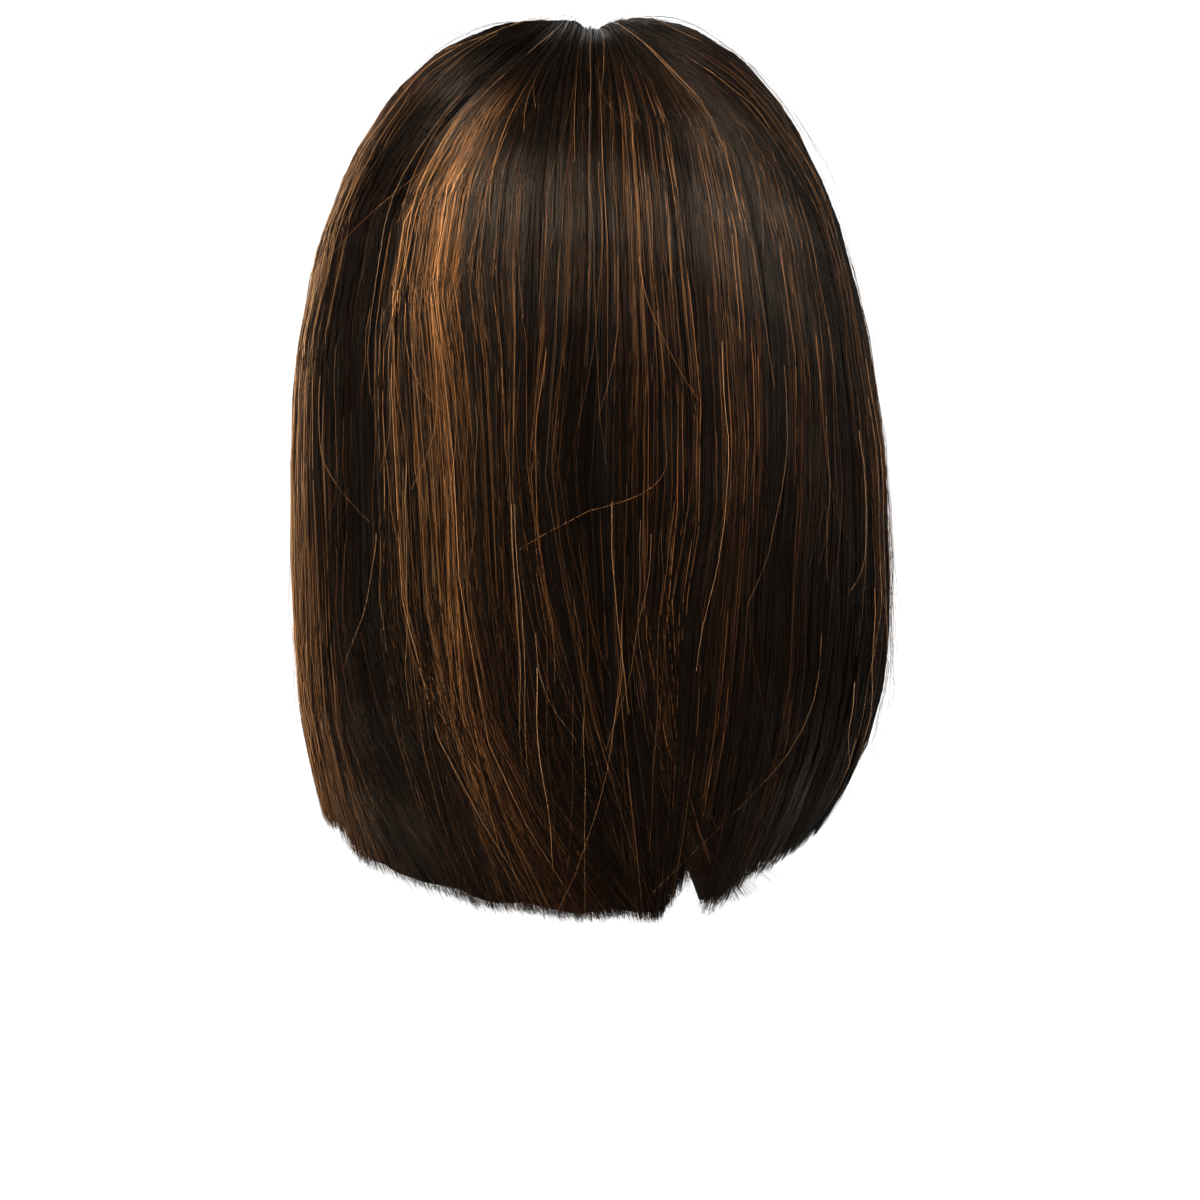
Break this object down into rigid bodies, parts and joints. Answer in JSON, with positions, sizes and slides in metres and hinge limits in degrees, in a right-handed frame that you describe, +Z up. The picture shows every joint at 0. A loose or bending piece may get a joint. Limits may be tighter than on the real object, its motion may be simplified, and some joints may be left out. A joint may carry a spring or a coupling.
{
  "type": "lace front wig",
  "caption": "Shoulder-length bob wig with a middle part, dark hair with copper streaks, on a hollow net cap with a lace front.",
  "frame": {"origin": "inside of the cap at the crown, where the top of the wearer's head seats", "axes": "+Z up, the face side looks along -Y, +X is the wearer's left"},
  "size_m": [0.2403, 0.1993, 0.3576],
  "materials": {
    "dark_hair": "satin",
    "highlighted_hair": "satin",
    "cap_net": "matte",
    "front_lace": "matte"
  },
  "bodies": {
    "root": {"cap": "cap_net", "lace_front": "front_lace", "left_face_tress": "dark_hair", "left_side_tress": "dark_hair", "back_left_tress": "highlighted_hair", "back_centre_tress": "dark_hair", "back_right_tress": "dark_hair", "right_side_tress": "dark_hair", "right_face_tress": "dark_hair"}
  },
  "joints": []
}
